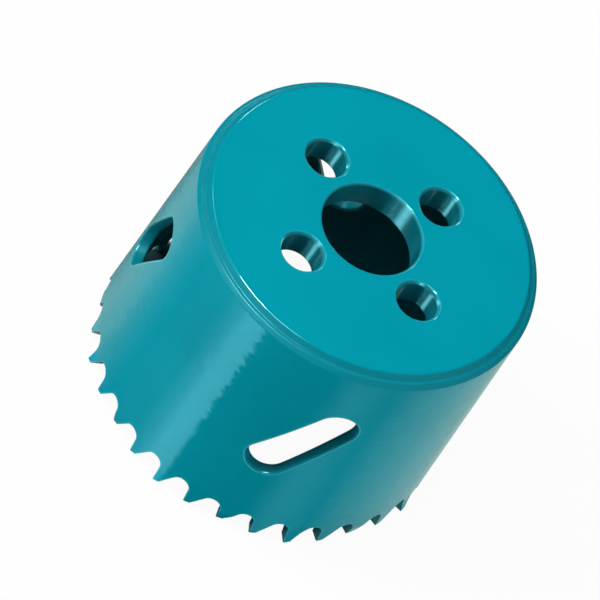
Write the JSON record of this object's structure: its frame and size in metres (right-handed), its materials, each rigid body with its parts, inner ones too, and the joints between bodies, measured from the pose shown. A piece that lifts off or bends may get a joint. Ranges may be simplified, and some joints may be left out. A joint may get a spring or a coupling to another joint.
{
  "type": "hole saw",
  "caption": "Painted steel hole saw: a toothed cup with slanted slots, closed by a thick backplate with an arbor bore and drive pin holes.",
  "frame": {"origin": "centre of the circle of tooth tips, on the surface that the saw stands on", "axes": "+Z along the saw's axis, from the teeth to the backplate; a slot is centred on each of +X, +Y, -X and -Y"},
  "size_m": [0.0564, 0.0564, 0.0425],
  "materials": {
    "shell_paint": "gloss",
    "plate_paint": "gloss"
  },
  "bodies": {
    "root": {"shell": "shell_paint", "backplate": "plate_paint"}
  },
  "joints": []
}
